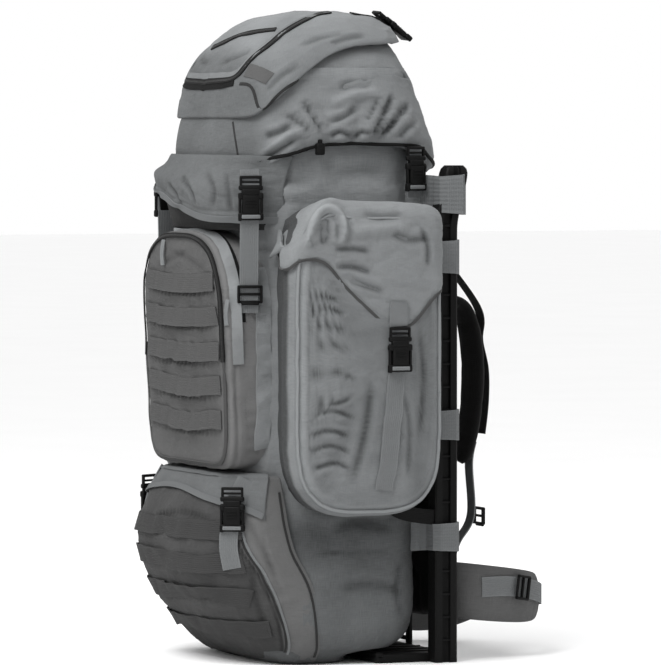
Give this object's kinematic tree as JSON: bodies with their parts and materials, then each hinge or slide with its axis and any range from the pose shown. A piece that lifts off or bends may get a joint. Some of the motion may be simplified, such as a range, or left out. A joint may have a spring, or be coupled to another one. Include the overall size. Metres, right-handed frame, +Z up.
{
  "type": "external frame backpack",
  "caption": "Tall grey rucksack on a black moulded external frame, with gathered domed lid, webbed front pockets, long side pouches, shoulder straps and a padded hip belt.",
  "frame": {"origin": "on the floor, on the main bag's flat base, in the middle of its width", "axes": "+Z up along the frame, -Y out of the pack's front, +Y towards the wearer, +X across the pack"},
  "size_m": [0.542, 0.5434, 0.8815],
  "materials": {
    "cloth": "woven pack cloth, matte grey-green",
    "dark_cloth": "woven pack cloth, darker grey",
    "webbing": "ribbed nylon webbing, matte grey",
    "padding": "black spacer mesh over foam",
    "plastic": "black moulded plastic",
    "frame": "black moulded plastic, fine grain",
    "zip": "black zip tape and coil"
  },
  "bodies": {
    "root": {"main_bag": "cloth", "lid_hood": "cloth", "lid_pocket": "cloth", "lid_visor": "cloth", "bottom_flap": "cloth", "side_pouch_right": "cloth", "side_pouch_left": "cloth", "side_pouch_flap_right": "cloth", "side_pouch_flap_left": "cloth", "front_pocket": "dark_cloth", "bottom_pocket": "dark_cloth", "front_ladder_panel": "webbing", "bottom_ladder_panel": "webbing", "crown_strap": "webbing", "pouch_strap_right": "webbing", "pouch_strap_left": "webbing", "front_lid_strap_right": "webbing", "front_lid_strap_left": "webbing", "rear_lid_strap_right": "webbing", "rear_lid_strap_left": "webbing", "bottom_flap_strap_right": "webbing", "bottom_flap_strap_left": "webbing", "load_lifter_right": "webbing", "load_lifter_left": "webbing", "lower_strap_right": "webbing", "lower_strap_left": "webbing", "belt_webbing_right": "webbing", "belt_webbing_left": "webbing", "frame_tab_top_right": "webbing", "frame_tab_top_left": "webbing", "frame_tab_upper_right": "webbing", "frame_tab_upper_left": "webbing", "frame_tab_middle_right": "webbing", "frame_tab_middle_left": "webbing", "frame_tab_lower_right": "webbing", "frame_tab_lower_left": "webbing", "yoke_pad": "padding", "lumbar_pad": "padding", "shoulder_pad_right": "padding", "shoulder_pad_left": "padding", "hip_pad_right": "padding", "hip_pad_left": "padding", "belt_buckle": "plastic", "pouch_buckle_right": "plastic", "pouch_buckle_left": "plastic", "front_lid_buckle_right": "plastic", "front_lid_buckle_left": "plastic", "front_strap_lock_right": "plastic", "front_strap_lock_left": "plastic", "rear_lid_buckle_right": "plastic", "rear_lid_buckle_left": "plastic", "bottom_flap_buckle_right": "plastic", "bottom_flap_buckle_left": "plastic", "lower_strap_lock_right": "plastic", "lower_strap_lock_left": "plastic", "frame": "frame", "lid_edge_zip": "zip", "lid_top_zip": "zip", "front_pocket_zip": "zip"}
  },
  "joints": []
}
